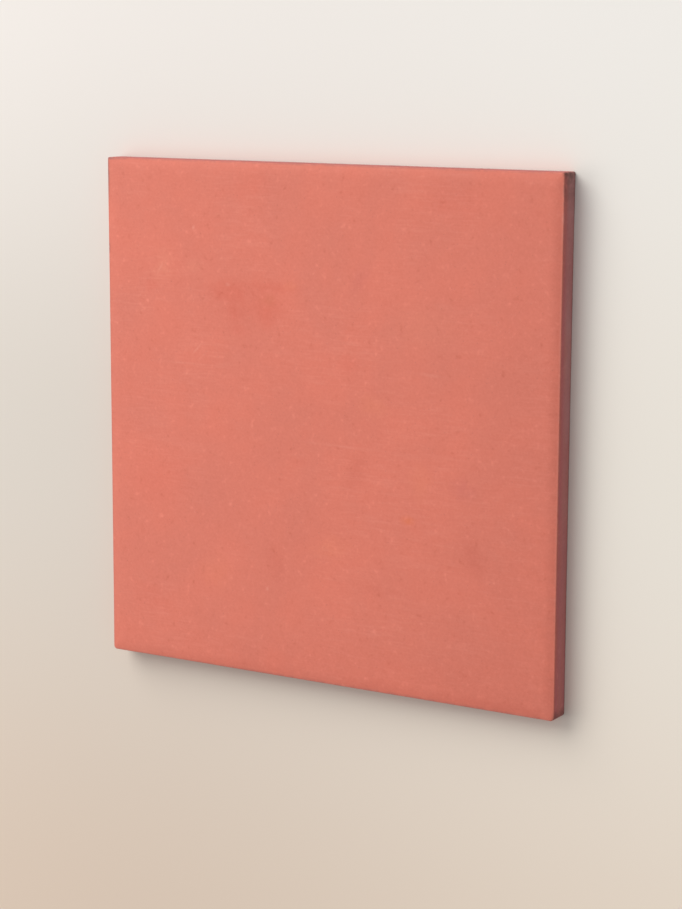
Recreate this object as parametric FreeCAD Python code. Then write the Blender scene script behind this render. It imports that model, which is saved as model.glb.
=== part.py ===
"""A square terracotta floor tile, pressed and fired as one piece of clay.

The wear face looks up (+Z) and the tile lies on its back, so the origin is at the
centre of the back. The face is flat, rolls off gently near its four sides (the
cushion) and turns into them over a small round (the arris). The sides are square to
the face, and a small chamfer (the heel) ends them at the back. At the corners the
edges of two sides meet in a mitre. The back has a border and a grid of ribs with
shallow pockets between them, which key the tile into its bed.
"""

import FreeCAD
import Part
import math
import os

# Outside of the tile, in millimetres
TILE_WIDTH = 300.0
TILE_LENGTH = 300.0
TILE_THICKNESS = 14.0
CORNER_RADIUS = 1.0

# Edges of the wear face and of the back
CUSHION_WIDTH = 7.5
CUSHION_DROP = 0.8
ARRIS_RADIUS = 0.6
HEEL_CHAMFER = 0.4

# Keyed back: equal pockets pressed into it, with ribs between them and a border around them
BORDER_WIDTH = 13.0
RIB_WIDTH = 6.0
LARGEST_POCKET = 36.0
POCKET_DEPTH = 1.5
POCKET_CORNER_RADIUS = 4.0
POCKET_DRAFT_DEG = 30.0

# How far a pocket's tool reaches out of the back, and a bar of the section beyond the tile's ends
OVERCUT = 1.0
# Room for rounding when edges are picked by their place
PICK_TOLERANCE = 0.001


def rounded_rectangle(width, length, radius, height):
    """Face of a rectangle with round corners, centred on the Z axis at that height."""
    inner_width = width - 2 * radius
    inner_length = length - 2 * radius
    corner = FreeCAD.Vector(-inner_width / 2, -inner_length / 2, height)
    return Part.makePlane(inner_width, inner_length, corner).makeOffset2D(radius)


def edges_between(shape, lowest, highest):
    """The shape's edges that lie between two heights."""
    return [
        edge
        for edge in shape.Edges
        if edge.BoundBox.ZMin > lowest - PICK_TOLERANCE and edge.BoundBox.ZMax < highest + PICK_TOLERANCE
    ]


def centred_box(length, width, bottom, top):
    """Box between two heights, centred on the Z axis."""
    corner = FreeCAD.Vector(-length / 2, -width / 2, bottom)
    return Part.makeBox(length, width, top - bottom, corner)


def section_bar(length, width):
    """A bar along X with the tile's section across it: a cushion, an arris and a heel on both sides."""
    roll_radius = (CUSHION_WIDTH**2 + CUSHION_DROP**2) / (2 * CUSHION_DROP)
    rolled_width = width + 2 * (roll_radius - CUSHION_WIDTH)
    rolled = centred_box(length, rolled_width, -roll_radius, TILE_THICKNESS)
    tops = edges_between(rolled, TILE_THICKNESS, TILE_THICKNESS)
    along_x = [edge for edge in tops if edge.BoundBox.YLength < PICK_TOLERANCE]
    rolled = rolled.makeFillet(roll_radius, along_x)
    bar = centred_box(length, width, 0, TILE_THICKNESS).common(rolled)
    rim = TILE_THICKNESS - CUSHION_DROP
    bar = bar.makeFillet(ARRIS_RADIUS, edges_between(bar, rim, rim))
    return bar.makeChamfer(HEEL_CHAMFER, edges_between(bar, 0, 0))


def eased_block():
    """The tile without its key: what two crossing bars of its section and its plan have in common."""
    plan = rounded_rectangle(TILE_WIDTH, TILE_LENGTH, CORNER_RADIUS, 0)
    block = plan.extrude(FreeCAD.Vector(0, 0, TILE_THICKNESS))
    along_x = section_bar(TILE_WIDTH + 2 * OVERCUT, TILE_LENGTH)
    along_y = section_bar(TILE_LENGTH + 2 * OVERCUT, TILE_WIDTH)
    along_y.rotate(FreeCAD.Vector(), FreeCAD.Vector(0, 0, 1), 90)
    return block.common(along_x).common(along_y)


def pocket_row(outside):
    """Number and size of the pockets that fit between the two borders of an outside size."""
    room = outside - 2 * BORDER_WIDTH
    count = math.ceil((room + RIB_WIDTH) / (LARGEST_POCKET + RIB_WIDTH))
    return count, (room - (count - 1) * RIB_WIDTH) / count


def pocket(width, length):
    """Cutting tool of one pocket: a frustum with round corners, wider at its mouth than at its floor."""
    slope = math.tan(math.radians(POCKET_DRAFT_DEG))

    def ring(height):
        taper = height * slope
        return rounded_rectangle(
            width - 2 * taper, length - 2 * taper, POCKET_CORNER_RADIUS - taper, height
        ).OuterWire

    return Part.makeLoft([ring(-OVERCUT), ring(POCKET_DEPTH)], True, True)


def pockets():
    """The pockets of the back, in columns and rows about its centre."""
    columns, width = pocket_row(TILE_WIDTH)
    rows, length = pocket_row(TILE_LENGTH)
    tool = pocket(width, length)
    tools = []
    for column in range(columns):
        for row in range(rows):
            x = (column - (columns - 1) / 2) * (width + RIB_WIDTH)
            y = (row - (rows - 1) / 2) * (length + RIB_WIDTH)
            tools.append(tool.translated(FreeCAD.Vector(x, y, 0)))
    return Part.makeCompound(tools)


def floor_tile():
    """The whole tile, one solid."""
    return eased_block().cut(pockets()).Solids[0]


def main():
    tile = floor_tile()
    os.makedirs("parts", exist_ok=True)
    tile.exportStep("parts/floor_tile.step")
    box = tile.optimalBoundingBox()
    print(f"floor_tile: {box.XLength:.2f} x {box.YLength:.2f} x {box.ZLength:.2f} mm")


main()
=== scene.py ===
"""A worn terracotta floor tile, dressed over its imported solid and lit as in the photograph.

The tile is rebuilt as one fine mesh on the solid's own sizes. Rings of points run round its
outline, from the flat of the wear face over the cushion, the arris, the side and the heel to
the back, where square cells carry the pockets of the key. Pressing, firing and use then move
those points, and always inwards, so the tile keeps its size.

Lengths are in millimetres, but those of the studio are in metres. Among the values of the
clay, a noise is its size and detail, and a ramp is its start and end, then what it gives
there if that isn't 0 and 1.
"""

import bmesh
import bpy
import math
import numpy as np
from mathutils import Matrix, Vector, noise
from typing import NamedTuple


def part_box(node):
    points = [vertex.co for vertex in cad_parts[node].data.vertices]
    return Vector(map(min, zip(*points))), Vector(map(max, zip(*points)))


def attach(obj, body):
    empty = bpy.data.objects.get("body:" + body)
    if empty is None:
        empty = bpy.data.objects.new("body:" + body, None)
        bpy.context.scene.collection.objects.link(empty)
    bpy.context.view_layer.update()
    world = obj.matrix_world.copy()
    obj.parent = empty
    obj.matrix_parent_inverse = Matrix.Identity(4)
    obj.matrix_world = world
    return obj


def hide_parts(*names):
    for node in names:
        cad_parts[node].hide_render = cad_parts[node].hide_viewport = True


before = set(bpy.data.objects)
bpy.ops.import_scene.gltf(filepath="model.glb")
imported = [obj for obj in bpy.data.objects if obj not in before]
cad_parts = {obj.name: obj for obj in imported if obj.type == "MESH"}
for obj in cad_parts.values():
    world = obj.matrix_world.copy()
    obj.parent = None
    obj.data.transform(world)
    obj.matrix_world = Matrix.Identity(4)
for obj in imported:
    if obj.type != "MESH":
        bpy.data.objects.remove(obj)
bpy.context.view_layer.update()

# One millimetre in Blender's unit
MILLIMETRE = 0.001

# Outside of the tile, as packed
LOW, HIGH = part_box("floor_tile")
HALF_X = (HIGH.x - LOW.x) / 2 / MILLIMETRE
HALF_Y = (HIGH.y - LOW.y) / 2 / MILLIMETRE
HALF = np.array((HALF_X, HALF_Y))
THICKNESS = (HIGH.z - LOW.z) / MILLIMETRE

# Edges of the tile, as the solid has them
CUSHION_WIDTH = 7.5
CUSHION_DROP = 0.8
ARRIS_RADIUS = 0.6
HEEL_CHAMFER = 0.4
ROLL_RADIUS = (CUSHION_WIDTH**2 + CUSHION_DROP**2) / (2 * CUSHION_DROP)

# Softening of the mitres where the cushions of two sides meet: the higher the power, the sharper they are
MITRE_POWER = 6
FLAT_CORNER_RADIUS = 2.0

# Keyed back, as the solid has it, and the easing of its pockets' edges
POCKETS_PER_ROW = 7
POCKET_SIZE = 34.0
RIB_WIDTH = 6.0
POCKET_DEPTH = 1.5
POCKET_CORNER_RADIUS = 4.0
POCKET_DRAFT = math.radians(30)
CELL = POCKET_SIZE + RIB_WIDTH
POCKET_EASE = 0.5

# Corners of the outline after years of knocks: top right, top left, bottom left, bottom right
WORN_CORNERS = (1.1, 0.8, 2.0, 2.4)

# Fineness of the mesh
SIDE_STEPS = 600
CORNER_STEPS = 8
CUSHION_RINGS = 7
ARRIS_RINGS = 5
SIDE_RINGS = 7
FLAT_STEPS = 70
FLAT_MARGIN = 3.5
POCKET_SIDE_STEPS = 6
POCKET_CORNER_STEPS = 4
POCKET_FLOOR_RINGS = (0.66, 0.33)

# Distance at which points merge, turn that counts as none, and angle from which an edge looks sharp
MERGE_DISTANCE = 0.001
TURN_TOLERANCE = 1e-9
SHARP_ANGLE = math.radians(40)

# How far firing drew in the left and right sides, and the other two, between the corners
DRAWN_IN = (0.20, 0.06)

# Waves that firing left in the sides, slow and quick, and in the face and back: depth, size and seed
SLOW_WAVES = (0.08, 45, 1)
QUICK_WAVES = (0.04, 9, 2)
FACE_WAVES = (0.08, 80, 3)

# Powers that keep those waves near the sides, or near the face and back
SIDE_POWER = 40
FACE_POWER = 8

# Shift of the noise from one seed to the next
SEED_SHIFT = (1.0, 2.7, 0.3)

# Chips of the arris that the photograph shows: place in the plan, radius and depth of the scoop
SEEN_CHIPS = (
    (-HALF_X, -31.0, 2.4, 0.45),
    (-HALF_X, 97.0, 1.8, 0.35),
    (HALF_X, 121.0, 1.6, 0.30),
    (HALF_X, 147.5, 1.4, 0.30),
)

# Small chips along the arris and heel: seed, numbers, range of radii, and of depths as shares of them
CHIP_SEED = 11
ARRIS_CHIPS = 90
HEEL_CHIPS = 60
CHIP_RADIUS = (0.7, 2.2)
CHIP_SHARE = (0.05, 0.16)

# Share of the small chips that the left and right sides have
SIDEWAYS_SHARE = 0.5

# Roughness of every chip as a share of its radius, size and seed of that roughness, and depth of full wear
CHIP_ROUGHNESS = 0.2
CHIP_GRAIN = (0.9, 4)
FULL_WEAR = 0.25


class Shell:
    """Points and faces of a mesh under construction."""

    def __init__(self):
        self.points = []
        self.faces = []

    def add(self, points):
        """Adds points and returns their numbers."""
        first = len(self.points)
        self.points.extend(points)
        return list(range(first, len(self.points)))

    def bridge(self, outer, inner):
        """Quads between two closed loops with as many points each."""
        for this in range(len(outer)):
            other = (this + 1) % len(outer)
            self.faces.append((outer[this], outer[other], inner[other], inner[this]))

    def bearings(self, loop):
        """Angles of a loop's points round the Z axis, from the lower right corner on.

        The angle of the first point comes again at the end, a whole turn later.
        """
        places = [self.points[number] for number in loop]
        angles = [(math.atan2(y, x) + math.pi / 4 + TURN_TOLERANCE) % math.tau for x, y, _ in places]
        return angles + [angles[0] + math.tau]

    def stitch(self, outer, inner):
        """Triangles between two closed loops round the Z axis with any number of points each."""
        outer_turn = self.bearings(outer)
        inner_turn = self.bearings(inner)
        outer = outer + outer[:1]
        inner = inner + inner[:1]
        here = there = 0
        while here < len(outer) - 1 or there < len(inner) - 1:
            inner_done = there == len(inner) - 1
            outer_left = here < len(outer) - 1
            if outer_left and (inner_done or outer_turn[here + 1] <= inner_turn[there + 1]):
                self.faces.append((outer[here], outer[here + 1], inner[there]))
                here += 1
            else:
                self.faces.append((outer[here], inner[there + 1], inner[there]))
                there += 1


def rounded_loop(half_x, half_y, radii, side_steps, corner_steps):
    """Plan points of a rectangle with round corners, counter-clockwise from the lower end of its right side.

    The radii are those of the corners in that order: top right, top left, bottom left, bottom right.
    """
    points = []
    for side in range(4):
        quarter = side * math.pi / 2
        outward = np.array((round(math.cos(quarter)), round(math.sin(quarter))))
        onward = np.array((-outward[1], outward[0]))
        reach, span = (half_x, half_y) if side % 2 == 0 else (half_y, half_x)
        radius = radii[side]
        for along in np.linspace(radii[side - 1] - span, span - radius, side_steps, endpoint=False):
            points.append(outward * reach + onward * along)
        pivot = outward * (reach - radius) + onward * (span - radius)
        for turn in np.linspace(0, math.pi / 2, corner_steps, endpoint=False):
            points.append(pivot + radius * (outward * math.cos(turn) + onward * math.sin(turn)))
    return np.array(points)


def outline_loop(inset):
    """Plan points of the loop that runs inside the tile's outline at that distance."""
    radii = [
        np.interp(inset, (0, ARRIS_RADIUS, CUSHION_WIDTH), (worn, worn - ARRIS_RADIUS, FLAT_CORNER_RADIUS))
        for worn in WORN_CORNERS
    ]
    return rounded_loop(HALF_X - inset, HALF_Y - inset, radii, SIDE_STEPS, CORNER_STEPS)


def cushion_height(plan):
    """Height of the cushioned face over points of the plan."""
    over = np.maximum(np.abs(plan) - HALF + CUSHION_WIDTH, 0)
    beyond = np.linalg.norm(over, ord=MITRE_POWER, axis=1)
    return THICKNESS - ROLL_RADIUS + np.sqrt(ROLL_RADIUS**2 - beyond**2)


def edge_rings():
    """Loops from the edge of the flat over the cushion, arris and side to the heel's inner edge."""
    rings = []
    for inset in np.linspace(CUSHION_WIDTH, ARRIS_RADIUS, CUSHION_RINGS):
        plan = outline_loop(inset)
        rim = cushion_height(plan)
        rings.append(np.column_stack((plan, rim)))
    for turn in np.linspace(0, math.pi / 2, ARRIS_RINGS + 1)[1:]:
        plan = outline_loop(ARRIS_RADIUS * (1 - math.sin(turn)))
        rings.append(np.column_stack((plan, rim - ARRIS_RADIUS * (1 - math.cos(turn)))))
    outline = outline_loop(0)
    for share in np.linspace(1, 0, SIDE_RINGS + 1)[1:]:
        height = HEEL_CHAMFER + (rim - ARRIS_RADIUS - HEEL_CHAMFER) * share
        rings.append(np.column_stack((outline, height)))
    plan = outline_loop(HEEL_CHAMFER)
    rings.append(np.column_stack((plan, np.zeros(len(plan)))))
    return rings


def add_flat(shell):
    """Adds the grid of the face's flat part and returns its border."""
    half_x = HALF_X - CUSHION_WIDTH - FLAT_MARGIN
    half_y = HALF_Y - CUSHION_WIDTH - FLAT_MARGIN
    columns = [
        shell.add([np.array((x, y, THICKNESS)) for y in np.linspace(-half_y, half_y, FLAT_STEPS + 1)])
        for x in np.linspace(-half_x, half_x, FLAT_STEPS + 1)
    ]
    for left, right in zip(columns, columns[1:]):
        for low in range(FLAT_STEPS):
            shell.faces.append((left[low], right[low], right[low + 1], left[low + 1]))
    top = [column[-1] for column in columns]
    bottom = [column[0] for column in columns]
    return columns[-1][:-1] + top[:0:-1] + columns[0][:0:-1] + bottom[:-1]


def eased_corner(before, corner, after):
    """Three points of a section that rounds a corner between two others."""
    before, corner, after = map(np.array, (before, corner, after))
    return [before, (before + 2 * corner + after) / 4, after]


def pocket_section():
    """Section of a pocket's edge from the rib to the floor: distance inside the mouth, and height."""
    wall = POCKET_EASE * np.array((math.sin(POCKET_DRAFT), math.cos(POCKET_DRAFT)))
    foot = np.array((POCKET_DEPTH * math.tan(POCKET_DRAFT), POCKET_DEPTH))
    mouth = eased_corner((-POCKET_EASE, 0), (0, 0), wall)
    return mouth + eased_corner(foot - wall, foot, foot + (POCKET_EASE, 0))


def add_cell(shell, centre):
    """Adds one square cell of the back: half a rib on each side, and a pocket."""

    def ring(half, radius, height):
        plan = rounded_loop(half, half, (radius,) * 4, POCKET_SIDE_STEPS, POCKET_CORNER_STEPS) + centre
        return shell.add(np.column_stack((plan, np.full(len(plan), height))))

    loops = [ring(CELL / 2, 0, 0)]
    for inset, height in pocket_section():
        loops.append(ring(POCKET_SIZE / 2 - inset, POCKET_CORNER_RADIUS - inset, height))
    floor_half = POCKET_SIZE / 2 - inset
    floor_radius = POCKET_CORNER_RADIUS - inset
    for share in POCKET_FLOOR_RINGS:
        loops.append(ring(floor_half * share, floor_radius * share, POCKET_DEPTH))
    for outer, inner in zip(loops, loops[1:]):
        shell.bridge(outer, inner)
    middle = shell.add([np.array((*centre, POCKET_DEPTH))])[0]
    last = loops[-1]
    for this in range(len(last)):
        shell.faces.append((last[this - 1], last[this], middle))


def add_back(shell):
    """Adds the cells of the keyed back and returns the border round them."""
    offsets = (np.arange(POCKETS_PER_ROW) - (POCKETS_PER_ROW - 1) / 2) * CELL
    for x in offsets:
        for y in offsets:
            add_cell(shell, np.array((x, y)))
    half = POCKETS_PER_ROW * CELL / 2
    plan = rounded_loop(half, half, (0,) * 4, POCKETS_PER_ROW * POCKET_SIDE_STEPS, 0)
    return shell.add(np.column_stack((plan, np.zeros(len(plan)))))


def tile_shell():
    """The tile's mesh before any wear."""
    shell = Shell()
    loops = [shell.add(ring) for ring in edge_rings()]
    for outer, inner in zip(loops, loops[1:]):
        shell.bridge(outer, inner)
    shell.stitch(loops[0], add_flat(shell))
    shell.stitch(loops[-1], add_back(shell))
    return shell


def noise_at(points, size, seed):
    """Smooth noise from 0 to 1 at each point, with features of about that size."""
    shift = Vector([step * seed for step in SEED_SHIFT])
    values = [noise.noise(Vector(point) / size + shift) for point in points]
    return np.clip((1 + np.array(values)) / 2, 0, 1)


def waves(points, depth, size, seed):
    """Depth at each point, from 0 to the given one, of waves of about that size."""
    return depth * noise_at(points, size, seed)


def fired(points):
    """The points after firing: sides drawn in and uneven, face and back a little wavy."""
    x, y, z = points.T
    moved = points.copy()
    moved[:, 0] *= 1 - DRAWN_IN[0] / HALF_X * (1 - (y / HALF_Y) ** 2)
    moved[:, 1] *= 1 - DRAWN_IN[1] / HALF_Y * (1 - (x / HALF_X) ** 2)
    uneven = waves(points, *SLOW_WAVES) + waves(points, *QUICK_WAVES)
    for axis in (0, 1):
        near_side = (np.abs(points[:, axis]) / HALF[axis]) ** SIDE_POWER
        moved[:, axis] -= np.sign(points[:, axis]) * near_side * uneven
    upper = (z / THICKNESS) ** FACE_POWER
    lower = (1 - z / THICKNESS) ** FACE_POWER
    moved[:, 2] += (lower - upper) * waves(points, *FACE_WAVES)
    return moved


def chip_ball(x, y, radius, depth, upward):
    """Centre and radius of the ball that scoops a chip from an edge of the face (upward 1) or back (-1)."""
    height = THICKNESS - CUSHION_DROP if upward > 0 else 0
    at_side = np.abs((x, y)) > HALF - ARRIS_RADIUS
    sideways = np.sign((x, y)) * at_side
    outward = np.array((*sideways, upward))
    return np.array((x, y, height)) + outward / np.linalg.norm(outward) * (radius - depth), radius


def chip_balls():
    """The balls that scoop every chip: those that the photograph shows, and the small ones."""
    balls = [chip_ball(*chip, 1) for chip in SEEN_CHIPS]
    draw = np.random.default_rng(CHIP_SEED)
    for upward, count in ((1, ARRIS_CHIPS), (-1, HEEL_CHIPS)):
        for _ in range(count):
            along = draw.uniform(-1, 1)
            end = draw.choice((-1, 1))
            x, y = (end, along) if draw.random() < SIDEWAYS_SHARE else (along, end)
            radius = draw.uniform(*CHIP_RADIUS)
            depth = radius * draw.uniform(*CHIP_SHARE)
            balls.append(chip_ball(x * HALF_X, y * HALF_Y, radius, depth, upward))
    return balls


def chipped(points):
    """The points pushed out of every chip's ball, and how worn each is, from 0 to 1."""
    moved = points.copy()
    wear = np.zeros(len(points))
    for centre, radius in chip_balls():
        offset = moved - centre
        distance = np.linalg.norm(offset, axis=1)
        near = np.flatnonzero(distance < radius * (1 + CHIP_ROUGHNESS))
        rough = 1 + CHIP_ROUGHNESS * (2 * noise_at(moved[near], *CHIP_GRAIN) - 1)
        push = np.maximum(radius * rough - distance[near], 0)
        moved[near] += offset[near] / distance[near, None] * push[:, None]
        wear[near] = np.maximum(wear[near], push / FULL_WEAR)
    return moved, np.minimum(wear, 1)


def worn_tile():
    """The tile's mesh with all its wear, as an object."""
    shell = tile_shell()
    points, wear = chipped(fired(np.array(shell.points)))
    mesh = bpy.data.meshes.new("worn_tile")
    mesh.from_pydata(points * MILLIMETRE, [], shell.faces)
    mesh.attributes.new("wear", "FLOAT", "POINT").data.foreach_set("value", wear)
    form = bmesh.new()
    form.from_mesh(mesh)
    bmesh.ops.remove_doubles(form, verts=form.verts, dist=MERGE_DISTANCE * MILLIMETRE)
    bmesh.ops.recalc_face_normals(form, faces=form.faces)
    form.to_mesh(mesh)
    form.free()
    mesh.shade_smooth()
    mesh.set_sharp_from_angle(angle=SHARP_ANGLE)
    tile = bpy.data.objects.new("worn_tile", mesh)
    bpy.context.collection.objects.link(tile)
    return tile


# Colours of the clay, of what lies on it, and of painted shade and shadow, linear
CLAY_WARM = (0.722, 0.180, 0.114)
CLAY_GREY = (0.712, 0.182, 0.117)
# Clays of the sides: duller than the face's, and darker still by painted shade
SIDE_BROWN_AND_SHADE = (0.560, 0.138, 0.104)
SIDE_PLUM_AND_SHADE = (0.545, 0.134, 0.122)
FRACTURE = (0.430, 0.130, 0.095)
RUBBED = (0.740, 0.290, 0.225)
# Pale dust, which on the right side also paints the cool tone of shade
SIDE_DUST_AND_SHADE = (0.585, 0.330, 0.300)
BACK_DUST = (0.640, 0.340, 0.250)
PALE_GROG = (0.800, 0.360, 0.270)
DARK_GROG = (0.400, 0.110, 0.080)
WIPED = (0.800, 0.250, 0.175)
RED = (0.690, 0.105, 0.055)
REDDISH_BROWN = (0.630, 0.100, 0.053)
BROWN = (0.550, 0.105, 0.062)
OLIVE = (0.540, 0.165, 0.070)
PLUM = (0.600, 0.140, 0.115)
OCHRE = (0.810, 0.225, 0.115)
PALE = (0.820, 0.270, 0.160)
RUST = (0.750, 0.160, 0.040)
# Duller clay, also used as painted shade on the face and its right edge
DULL_CLAY_AND_SHADE = (0.560, 0.135, 0.085)
# Dark brown of the arrises' dark lines and of the painted shade at the foot of the sides
DARK_EDGE_AND_SHADE = (0.300, 0.110, 0.095)
# Painted shadow at the ends of the right side
PAINTED_SHADOW = (0.110, 0.045, 0.032)
SCRATCHED = (0.880, 0.380, 0.290)


class Mark(NamedTuple):
    """A mark of the face: an ellipse, turned by some degrees, that fades from its middle to its rim.

    The depth is how far below the face it fades out, so a deep one runs down a side.
    """

    centre: tuple
    half: tuple
    turn: float
    colour: tuple
    strength: float
    depth: float = 3.0


# Stains of the face, and broad patches of painted shade
STAINS_AND_SHADE = (
    # Smudge at the upper left, with two short runs below it
    Mark((-50, 70), (40, 22), 4, REDDISH_BROWN, 0.20),
    Mark((-66, 76), (24, 9), 2, REDDISH_BROWN, 0.24),
    Mark((-58, 65), (8, 17), 4, REDDISH_BROWN, 0.24),
    Mark((-36, 66), (13, 12), -20, REDDISH_BROWN, 0.22),
    Mark((-32, 79.5), (28, 4.5), 0, REDDISH_BROWN, 0.22),
    Mark((-36, 71), (9, 6), 0, OLIVE, 0.18),
    Mark((-21, 81), (7, 4), 0, OCHRE, 0.24),
    Mark((-56, 52), (10, 6), 0, RED, 0.12),
    Mark((-37, 57), (7, 6), 0, RED, 0.12),
    # Red and plum casts
    Mark((112, -147), (60, 7), 0, RED, 0.12),
    Mark((-118, 76), (7, 6), 0, RED, 0.20),
    Mark((-45, 136), (34, 10), 8, RED, 0.10),
    Mark((84, 132), (28, 16), 0, RED, 0.15),
    Mark((17, 38), (13, 8), 10, RED, 0.16),
    Mark((-112, -40), (32, 24), 20, RED, 0.10),
    Mark((-120, -114), (22, 14), 0, RED, 0.14),
    Mark((25, 87), (13, 8), 60, PLUM, 0.24),
    Mark((92, -26), (12, 10), 0, PLUM, 0.26),
    # Pale and ochre blooms, and a speck of rust
    Mark((-110, 88), (9, 15), -20, PALE, 0.24),
    Mark((-87, 89), (9, 7), 0, PALE, 0.16),
    Mark((66, 62), (36, 22), 0, PALE, 0.10),
    Mark((34, 16), (15, 10), 0, OCHRE, 0.30),
    Mark((65, -25), (16, 11), 100, OCHRE, 0.22),
    Mark((6, -69), (20, 10), 10, OCHRE, 0.24),
    Mark((-73, -92), (18, 16), 0, OCHRE, 0.18),
    Mark((57, -47.5), (7, 3.4), 0, RUST, 0.42),
    # Brown streaks
    Mark((23, -22), (20, 9), 64, BROWN, 0.24),
    Mark((99, -64), (21, 10), 116, BROWN, 0.30),
    Mark((-31, -82), (19, 9), 112, BROWN, 0.22),
    Mark((38, -90), (22, 5), 0, BROWN, 0.14),
    # Redder along the lower edge, and painted shade that darkens the face towards the lower right, along the
    # lower edge and at the upper right
    Mark((30, -160), (300, 45), 0, RED, 0.10),
    Mark((30, -165), (300, 70), 0, DULL_CLAY_AND_SHADE, 0.16),
    Mark((150, -90), (110, 240), 0, DULL_CLAY_AND_SHADE, 0.20),
    Mark((130, -150), (150, 80), 0, DULL_CLAY_AND_SHADE, 0.15),
    Mark((110, 150), (80, 40), 0, DULL_CLAY_AND_SHADE, 0.07),
)
LINES = (
    # Duller clay along the right and left edges, with painted shade added on the right, and an arris rubbed
    # pale at the right
    Mark((150, 0), (9, 500), 0, DULL_CLAY_AND_SHADE, 0.36),
    Mark((-150, 0), (7, 500), 0, DULL_CLAY_AND_SHADE, 0.26),
    Mark((149.6, 30), (1.4, 260), 0, RUBBED, 0.28),
    Mark((149.6, 128), (1.4, 24), 0, RUBBED, 0.35),
    # Dark lines on the other arrises, darkest at the upper left corner
    Mark((0, 149.8), (400, 1.4), 0, DARK_EDGE_AND_SHADE, 0.40),
    Mark((-146, 149.6), (14, 1.7), 0, DARK_EDGE_AND_SHADE, 0.70),
    Mark((-149.8, 0), (1.5, 400), 0, DARK_EDGE_AND_SHADE, 0.36),
    Mark((-149.6, 139), (1.8, 20), 0, DARK_EDGE_AND_SHADE, 0.75),
    Mark((-149.6, 97), (1.6, 5), 0, DARK_EDGE_AND_SHADE, 0.60),
    Mark((20, -149.8), (300, 2.2), 0, DARK_EDGE_AND_SHADE, 0.45),
    # Painted shadow down both ends of the right side, darkest at the lower end
    Mark((150.5, 150), (3, 6), 0, PAINTED_SHADOW, 0.50, 80),
    Mark((150, 150), (1.5, 27), 0, PAINTED_SHADOW, 0.48, 80),
    Mark((150.5, -151), (3, 9), 0, PAINTED_SHADOW, 0.95, 80),
    # Flecks and scratches
    Mark((-37, -98), (1.4, 2.0), 0, SCRATCHED, 0.28),
    Mark((-88, 111), (2.0, 1.3), 70, SCRATCHED, 0.26),
    Mark((-64, 79), (2.6, 1.8), 0, SCRATCHED, 0.20),
    Mark((-112, 86), (6, 1.1), 60, SCRATCHED, 0.20),
    Mark((-86, 40), (7, 1.1), 45, SCRATCHED, 0.18),
    Mark((-82, 36), (6, 1.0), 45, SCRATCHED, 0.14),
    Mark((-94, 31), (32, 1.0), 0, SCRATCHED, 0.10),
    Mark((14, -9), (46, 1.3), -1, SCRATCHED, 0.09),
    Mark((72, 36), (18, 1.6), -4, SCRATCHED, 0.09),
)

# Value about which a noise goes up and down
NOISE_MIDDLE = 0.5

# Wandering that makes the outlines of the stains and of the painted shade uneven, and how far it reaches
WANDER = (8.0, 3.0)
WANDER_REACH = 7.0

# Gaps in the marks, and the cover that they leave: nearly even for the stains and painted shade, patchy for
# the lines
GAPS = (5.0, 3.0)
BROAD_COVER = (0.30, 0.62, 0.80, 1.10)
LINE_COVER = (0.30, 0.62, 0.45, 1.25)

# Noises of the clay, and the ramp from the greyer clay to the warmer one
CLOUDS = (26.0, 5.0)
MOTTLE = (28.0, 5.0)
GRIT = (3.8, 1.0)
SAND = (1.5, 2.0)
CLOUD_RAMP = (0.35, 0.65)

# Specks of pale and dark grog, pits and scuffs: spacing and radius
PALE_SPECKS = (3.4, 0.5)
DARK_SPECKS = (4.2, 0.45)
PITS = (5.0, 0.5)
SCUFFS = (4.6, 1.1)

# Core of a speck as a share of its radius, and shift of the dark grog and pits from the other specks
SPECK_CORE = 0.5
SPECK_SHIFT = (17.0, 5.0, 29.0)

# Cover of the pale and dark grog, of the scuffs, and of the darker clay that a chip lays bare
PALE_COVER = 0.12
DARK_COVER = 0.25
SCUFF_COVER = 0.12
FRACTURE_COVER = 0.6

# Streaks that wiping left along X: sizes along the axes and cover, broad ones first
STREAKS = (((26.0, 3.6, 6.0), 0.14), ((13.0, 1.2, 6.0), 0.22))
STREAK_RAMP = (0.48, 0.75)

# Patches in which the streaks and scuffs show
RUBBED_PATCHES = (45.0, 2.0)
RUBBED_RAMP = (0.38, 0.62)

# Ramps over the surface's direction, from the face onto the sides and from those onto the back
ONTO_SIDE = (0.75, 0.15)
ONTO_BACK = (-0.5, -0.95)

# Streaks along the sides: sizes along the axes
SIDE_STREAKS = (40.0, 40.0, 3.0)
SIDE_STREAK_RAMP = (0.35, 0.65)

# Dust of the sides, thickest low on the right one and towards the far end, and patchy; on the right side it
# also paints the cool tone of shade
DUST_DOWN = (13.0, 5.0, 0.0, 0.42)
DUST_RIGHT = (0.2, 0.8, 0.25, 1.0)
DUST_FAR = (-140.0, 120.0, 0.4, 1.25)
DUST_PATCHES = (0.30, 0.70, 0.7, 1.2)

# Painted shade at the foot of the sides, and patches of the back's dust
FOOT_SHADE = (2.0, 0.0, 0.0, 0.6)
BACK_PATCHES = (0.35, 0.65, 0.3, 0.8)

# Contrasts of mottling, grit and sand: grit is cubed about a middle of its own, so that few grains stand out
MOTTLE_CONTRAST = 0.16
GRIT_CONTRAST = 4.8
GRIT_MIDDLE = 0.488
SAND_CONTRAST = 0.16

# Colour that grit and sand add, about as strong to the eye in each channel
GRAIN_TINT = (0.43, 0.20, 0.16)

# Roughness from the face to the sides, and what mottling adds to it
ROUGHNESS = (*ONTO_SIDE, 0.60, 0.72)
ROUGH_MOTTLE = 0.12

# Heights of the relief
SAND_RELIEF = 0.05
MOTTLE_RELIEF = 0.06
PIT_RELIEF = -0.05

# Numbers of the Mix node's sockets for colours
MIX_SHARE = 0
MIX_FIRST = 6
MIX_SECOND = 7
MIX_RESULT = 2


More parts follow.
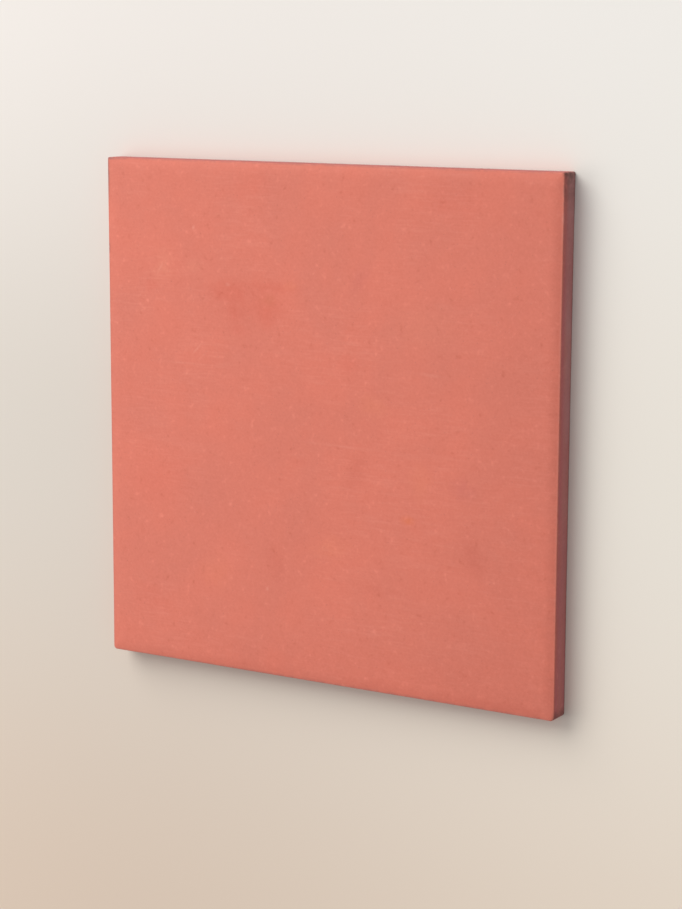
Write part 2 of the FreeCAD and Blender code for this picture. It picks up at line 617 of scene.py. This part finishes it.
class Nodes:
    """The nodes of a material or world under construction: each call adds some and returns an output."""

    def __init__(self, owner):
        owner.use_nodes = True
        self.tree = owner.node_tree

    def feed(self, socket, value):
        """Links an output to a socket, or sets the socket's own value."""
        if isinstance(value, bpy.types.NodeSocket):
            self.tree.links.new(value, socket)
        elif isinstance(value, tuple) and socket.type == "RGBA":
            socket.default_value = (*value, 1)
        else:
            socket.default_value = value

    def add(self, kind, inputs, output=0, **settings):
        """One node of a kind, with its inputs fed and its settings set."""
        made = self.tree.nodes.new(kind)
        for name, value in settings.items():
            setattr(made, name, value)
        for socket, value in inputs.items():
            self.feed(made.inputs[socket], value)
        return made.outputs[output]

    def join(self, operation, first, *others):
        """Numbers joined one after another by an operation of the Math node."""
        for other in others:
            first = self.add("ShaderNodeMath", {0: first, 1: other}, operation=operation)
        return first

    def sum(self, *terms):
        """Sum of numbers."""
        return self.join("ADD", *terms)

    def product(self, *terms):
        """Product of numbers."""
        return self.join("MULTIPLY", *terms)

    def vectors(self, operation, first, second):
        """Two vectors joined by an operation of the Vector Math node."""
        return self.add("ShaderNodeVectorMath", {0: first, 1: second}, operation=operation)

    def axis(self, vector, name):
        """One coordinate of a vector."""
        return self.add("ShaderNodeSeparateXYZ", {0: vector}, name)

    def ramp(self, value, start, end, low=0.0, high=1.0):
        """Smooth change from low to high as the value goes from start to end."""
        inputs = {"Value": value, "From Min": start, "From Max": end, "To Min": low, "To Max": high}
        return self.add("ShaderNodeMapRange", inputs, interpolation_type="SMOOTHSTEP")

    def mix(self, share, first, second):
        """Colour between two others."""
        inputs = {MIX_SHARE: share, MIX_FIRST: first, MIX_SECOND: second}
        return self.add("ShaderNodeMix", inputs, MIX_RESULT, data_type="RGBA")

    def noise(self, place, size, detail=2.0, output="Fac"):
        """Noise with features of about that size."""
        return self.add("ShaderNodeTexNoise", {"Vector": place, "Scale": 1 / size, "Detail": detail}, output)

    def stretched_noise(self, place, sizes):
        """Noise with features of about those sizes along the three axes."""
        return self.noise(self.vectors("DIVIDE", place, sizes), 1.0)

    def specks(self, place, spacing, radius):
        """Small balls scattered in the clay and cut by its surface: 1 in their core, 0 outside them."""
        distance = self.add("ShaderNodeTexVoronoi", {"Vector": place, "Scale": 1 / spacing}, "Distance")
        return self.ramp(distance, radius / spacing, SPECK_CORE * radius / spacing)


def clay(nodes, place, elsewhere):
    """The bare clay's colour: clouds of two clays with pale and dark grog in them."""
    clouds = nodes.ramp(nodes.noise(place, *CLOUDS), *CLOUD_RAMP)
    colour = nodes.mix(clouds, CLAY_GREY, CLAY_WARM)
    colour = nodes.mix(nodes.product(nodes.specks(place, *PALE_SPECKS), PALE_COVER), colour, PALE_GROG)
    return nodes.mix(nodes.product(nodes.specks(elsewhere, *DARK_SPECKS), DARK_COVER), colour, DARK_GROG)


def wandering(nodes, place):
    """The place, moved about by noise."""
    drift = nodes.noise(place, *WANDER, "Color")
    centred = nodes.vectors("SUBTRACT", drift, (NOISE_MIDDLE,) * 3)
    return nodes.vectors("ADD", place, nodes.vectors("MULTIPLY", centred, (WANDER_REACH,) * 3))


def with_mark(nodes, colour, place, mark, cover):
    """The colour with one mark laid over it."""
    inputs = {
        "Vector": place,
        "Location": (*mark.centre, THICKNESS),
        "Rotation": (0, 0, math.radians(mark.turn)),
        "Scale": (*mark.half, mark.depth),
    }
    within = nodes.add("ShaderNodeMapping", inputs, vector_type="TEXTURE")
    distance = nodes.add("ShaderNodeVectorMath", {0: within}, "Value", operation="LENGTH")
    share = nodes.product(nodes.ramp(distance, 1.0, 0.0, high=mark.strength), cover)
    return nodes.mix(share, colour, mark.colour)


def with_marks(nodes, colour, place):
    """The colour with every stain, line and patch of painted shade, whose cover is patchy. The stains and
    patches of shade have uneven outlines, too.
    """
    uneven = wandering(nodes, place)
    gaps = nodes.noise(place, *GAPS)
    broad_cover = nodes.ramp(gaps, *BROAD_COVER)
    line_cover = nodes.ramp(gaps, *LINE_COVER)
    for broad_mark in STAINS_AND_SHADE:
        colour = with_mark(nodes, colour, uneven, broad_mark, broad_cover)
    for line in LINES:
        colour = with_mark(nodes, colour, place, line, line_cover)
    return colour


def with_rubbing(nodes, colour, place):
    """The colour with the pale streaks and scuffs of wiping and use, which show in patches."""
    patches = nodes.ramp(nodes.noise(place, *RUBBED_PATCHES), *RUBBED_RAMP)
    for sizes, cover in STREAKS:
        streaks = nodes.ramp(nodes.stretched_noise(place, sizes), *STREAK_RAMP)
        colour = nodes.mix(nodes.product(streaks, patches, cover), colour, WIPED)
    scuffs = nodes.specks(place, *SCUFFS)
    return nodes.mix(nodes.product(scuffs, patches, SCUFF_COVER), colour, WIPED)


def with_sides(nodes, colour, place, normal, mottle):
    """The colour of the face, and those of the sides and back where the surface looks their way, with
    painted shade on the sides.
    """
    height = nodes.axis(place, "Z")
    upward = nodes.axis(normal, "Z")
    on_side = nodes.ramp(upward, *ONTO_SIDE)
    streaks = nodes.ramp(nodes.stretched_noise(place, SIDE_STREAKS), *SIDE_STREAK_RAMP)
    colour = nodes.mix(on_side, colour, nodes.mix(streaks, SIDE_BROWN_AND_SHADE, SIDE_PLUM_AND_SHADE))
    # Dust, and on the right side painted cool shade
    dust_and_shade = nodes.product(
        on_side,
        nodes.ramp(height, *DUST_DOWN),
        nodes.ramp(nodes.axis(normal, "X"), *DUST_RIGHT),
        nodes.ramp(nodes.axis(place, "Y"), *DUST_FAR),
        nodes.ramp(mottle, *DUST_PATCHES),
    )
    colour = nodes.mix(dust_and_shade, colour, SIDE_DUST_AND_SHADE)
    # Painted shade: the foot of every side darkened
    colour = nodes.mix(nodes.product(on_side, nodes.ramp(height, *FOOT_SHADE)), colour, DARK_EDGE_AND_SHADE)
    back_dust = nodes.product(nodes.ramp(upward, *ONTO_BACK), nodes.ramp(mottle, *BACK_PATCHES))
    return nodes.mix(back_dust, colour, BACK_DUST)


def with_fractures(nodes, colour):
    """The colour with the darker clay that the chips lay bare."""
    wear = nodes.add("ShaderNodeAttribute", {}, "Fac", attribute_name="wear")
    return nodes.mix(nodes.product(wear, FRACTURE_COVER), colour, FRACTURE)


def with_grain(nodes, colour, place, mottle, sand):
    """The colour made brighter and darker by the mottling, grit and sand."""
    mottled = nodes.product(nodes.sum(mottle, -NOISE_MIDDLE), MOTTLE_CONTRAST)
    colour = nodes.add("ShaderNodeHueSaturation", {"Value": nodes.sum(1.0, mottled), "Color": colour})
    grit = nodes.sum(nodes.noise(place, *GRIT), -GRIT_MIDDLE)
    gritty = nodes.product(grit, grit, grit, GRIT_CONTRAST)
    sandy = nodes.product(nodes.sum(sand, -NOISE_MIDDLE), SAND_CONTRAST)
    return nodes.vectors("ADD", colour, nodes.vectors("MULTIPLY", nodes.sum(gritty, sandy), GRAIN_TINT))


def relief(nodes, elsewhere, mottle, sand):
    """Normals of a surface that mottling, sand and pits make uneven."""
    pits = nodes.product(nodes.specks(elsewhere, *PITS), PIT_RELIEF)
    height = nodes.sum(nodes.product(sand, SAND_RELIEF), nodes.product(mottle, MOTTLE_RELIEF), pits)
    return nodes.add("ShaderNodeBump", {"Height": height, "Distance": MILLIMETRE, "Strength": 1.0})


def terracotta():
    """Unglazed fired clay: mottled, sandy and marked on the face, with painted shade towards its lower
    right, duller on the sides and darkened there by painted shade too, dusty on the back.
    """
    material = bpy.data.materials.new("terracotta")
    nodes = Nodes(material)
    surface = nodes.tree.nodes["Principled BSDF"]
    metres = nodes.add("ShaderNodeTexCoord", {}, "Object")
    place = nodes.vectors("DIVIDE", metres, (MILLIMETRE,) * 3)
    elsewhere = nodes.vectors("ADD", place, SPECK_SHIFT)
    normal = nodes.add("ShaderNodeNewGeometry", {}, "Normal")
    mottle = nodes.noise(place, *MOTTLE)
    sand = nodes.noise(place, *SAND)

    colour = clay(nodes, place, elsewhere)
    colour = with_rubbing(nodes, colour, place)
    colour = with_sides(nodes, colour, place, normal, mottle)
    colour = with_marks(nodes, colour, place)
    colour = with_fractures(nodes, colour)
    colour = with_grain(nodes, colour, place, mottle, sand)
    nodes.feed(surface.inputs["Base Color"], colour)

    rough = nodes.ramp(nodes.axis(normal, "Z"), *ROUGHNESS)
    rough = nodes.sum(nodes.product(mottle, ROUGH_MOTTLE), rough)
    nodes.feed(surface.inputs["Roughness"], rough)
    nodes.feed(surface.inputs["Normal"], relief(nodes, elsewhere, mottle, sand))
    return material


# Pale floor of the studio: half its size, then the colours at the left and right of three parts, which paint
# shade and light on it: darker towards the near left, paler towards the far right
FLOOR_HALF = 15.0
FLOOR_FAR = ((0.88, 0.82, 0.75), (0.99, 0.95, 0.87))
FLOOR_MIDDLE = ((0.74, 0.67, 0.58), (0.99, 0.92, 0.80))
FLOOR_NEAR = ((0.75, 0.60, 0.47), (0.95, 0.80, 0.64))

# Where those colours fade: from left to right, from the near part to the middle, and on to the far part
FADE_ACROSS = (-0.20, 0.42)
FADE_NEAR = (-0.36, 0.0)
FADE_FAR = (-0.03, 0.26)

# Colour in which the floor gives light back to the tile, darker than it is seen
FLOOR_BOUNCE = (0.54, 0.53, 0.53)

# Light from all round, and the backdrop that is seen in its place
WORLD_LIGHT = (0.39, 0.40, 0.43)
WORLD_SEEN = (0.86, 0.80, 0.75)

# A large soft lamp at the upper left, and a weaker one at the left
KEY_DIRECTION = (-0.45, 0.68, 0.58)
KEY_DISTANCE = 4.0
KEY_SIZE = 3.8
KEY_POWER = 135.0
FILL_DIRECTION = (-0.74, 0.0, 0.67)
FILL_DISTANCE = 1.3
FILL_SIZE = 0.9
FILL_POWER = 3.6

# Camera, from the perspective of the photograph's four corners of the face
CAMERA_OFFSET = (0.6906, 0.2144, 1.1179)
CAMERA_AIM = (0.0131, -0.0136, 0.0)
CAMERA_ROLL = math.radians(0.222)
CAMERA_LENS = 92.40
SENSOR = 36.0


def seen(nodes):
    """1 where a ray comes from the camera, straight or by a mirror or glass."""
    path = nodes.tree.nodes.new("ShaderNodeLightPath")
    rays = ("Is Camera Ray", "Is Glossy Ray", "Is Transmission Ray")
    return nodes.join("MAXIMUM", *(path.outputs[ray] for ray in rays))


def add_floor():
    """The pale floor, whose seen colour carries painted shade and light, and which gives the tile less light
    back than it seems to.
    """
    material = bpy.data.materials.new("floor")
    nodes = Nodes(material)
    place = nodes.add("ShaderNodeTexCoord", {}, "Object")
    depth = nodes.axis(place, "Y")
    # Painted shade and light: the seen colour darkens towards the near left
    rightwards = nodes.ramp(nodes.axis(place, "X"), *FADE_ACROSS)
    far, middle, near = (nodes.mix(rightwards, *row) for row in (FLOOR_FAR, FLOOR_MIDDLE, FLOOR_NEAR))
    pale = nodes.mix(nodes.ramp(depth, *FADE_NEAR), near, middle)
    pale = nodes.mix(nodes.ramp(depth, *FADE_FAR), pale, far)
    surface = nodes.tree.nodes["Principled BSDF"]
    nodes.feed(surface.inputs["Base Color"], nodes.mix(seen(nodes), FLOOR_BOUNCE, pale))
    nodes.feed(surface.inputs["Roughness"], 1.0)
    nodes.feed(surface.inputs["Specular IOR Level"], 0.0)
    mesh = bpy.data.meshes.new("floor")
    corners = ((-1, -1), (1, -1), (1, 1), (-1, 1))
    mesh.from_pydata([(x * FLOOR_HALF, y * FLOOR_HALF, LOW.z) for x, y in corners], [], [(0, 1, 2, 3)])
    mesh.materials.append(material)
    floor = bpy.data.objects.new("floor", mesh)
    bpy.context.collection.objects.link(floor)


def add_lamp(name, direction, distance, size, power):
    """A round lamp that looks at the middle of the face."""
    away = Vector(direction).normalized()
    data = bpy.data.lights.new(name, "AREA")
    data.shape = "DISK"
    data.size = size
    data.energy = power
    lamp = bpy.data.objects.new(name, data)
    lamp.location = Vector((0, 0, HIGH.z)) + away * distance
    lamp.rotation_euler = away.to_track_quat("Z", "Y").to_euler()
    bpy.context.collection.objects.link(lamp)


def add_world():
    """The light from all round, and the pale backdrop that is seen beyond the floor."""
    world = bpy.data.worlds.new("studio")
    nodes = Nodes(world)
    background = nodes.tree.nodes["Background"]
    nodes.feed(background.inputs["Color"], nodes.mix(seen(nodes), WORLD_LIGHT, WORLD_SEEN))
    bpy.context.scene.world = world


def add_camera():
    """The camera at the photograph's viewing angle, with the tile's +Y side up in the picture."""
    centre = Vector((0, 0, HIGH.z))
    eye = centre + Vector(CAMERA_OFFSET)
    ahead = (centre + Vector(CAMERA_AIM) - eye).normalized()
    right = ahead.cross(Vector((0, 1, 0))).normalized()
    right = Matrix.Rotation(-CAMERA_ROLL, 3, ahead) @ right
    up = right.cross(ahead)
    data = bpy.data.cameras.new("camera")
    data.sensor_width = SENSOR
    data.lens = CAMERA_LENS
    camera = bpy.data.objects.new("camera", data)
    turn = Matrix((right, up, -ahead)).transposed().to_4x4()
    camera.matrix_world = Matrix.Translation(eye) @ turn
    bpy.context.collection.objects.link(camera)
    bpy.context.scene.camera = camera


tile = worn_tile()
tile.data.materials.append(terracotta())
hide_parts("floor_tile")
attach(tile, "root")
add_floor()
add_lamp("key", KEY_DIRECTION, KEY_DISTANCE, KEY_SIZE, KEY_POWER)
add_lamp("fill", FILL_DIRECTION, FILL_DISTANCE, FILL_SIZE, FILL_POWER)
add_world()
add_camera()
bpy.context.scene.view_settings.view_transform = "Standard"
